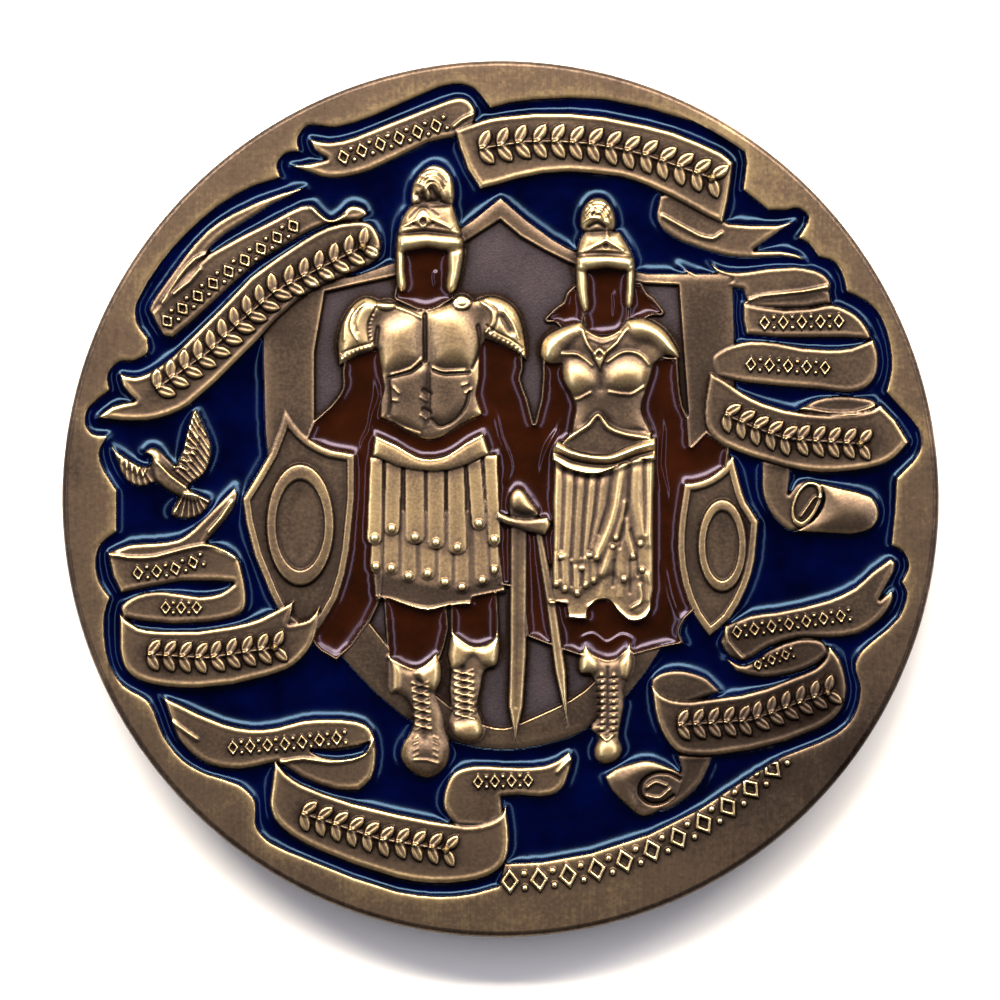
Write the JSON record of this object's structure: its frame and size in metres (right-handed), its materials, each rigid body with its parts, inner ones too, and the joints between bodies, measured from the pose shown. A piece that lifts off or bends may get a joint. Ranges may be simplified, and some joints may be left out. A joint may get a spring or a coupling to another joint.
{
  "type": "challenge coin",
  "caption": "Round struck bronze coin with two armoured figures, shields, blades and ribbons in relief, its recesses filled with dark blue and brown soft enamel.",
  "frame": {"origin": "centre of the reverse, in the plane of its rim, on which the coin lies", "axes": "+Z out of the obverse, +Y to the top of the design, +X to its right"},
  "size_m": [0.0508, 0.0508, 0.004],
  "materials": {
    "antique_bronze": "die-struck, antiqued with a dark patina in the recesses and rubbed back to satin on the high points",
    "blue_enamel": "very dark navy soft enamel, baked and glossy, dished a little below the metal",
    "brown_enamel": "dark brown soft enamel, baked and glossy, dished a little below the metal"
  },
  "bodies": {
    "root": {"coin_body": "antique_bronze", "enamel_blue_field": "blue_enamel", "enamel_blue_upper_fold": "blue_enamel", "enamel_left_cape": "brown_enamel", "enamel_cape_between_figures": "brown_enamel", "enamel_cape_between_blades": "brown_enamel", "enamel_cape_beside_blade": "brown_enamel", "enamel_right_cape": "brown_enamel", "enamel_left_face": "brown_enamel", "enamel_right_face": "brown_enamel", "enamel_hair_left": "brown_enamel", "enamel_hair_right": "brown_enamel", "enamel_left_leg_outer": "brown_enamel", "enamel_left_leg_inner": "brown_enamel", "enamel_right_leg": "brown_enamel"}
  },
  "joints": []
}
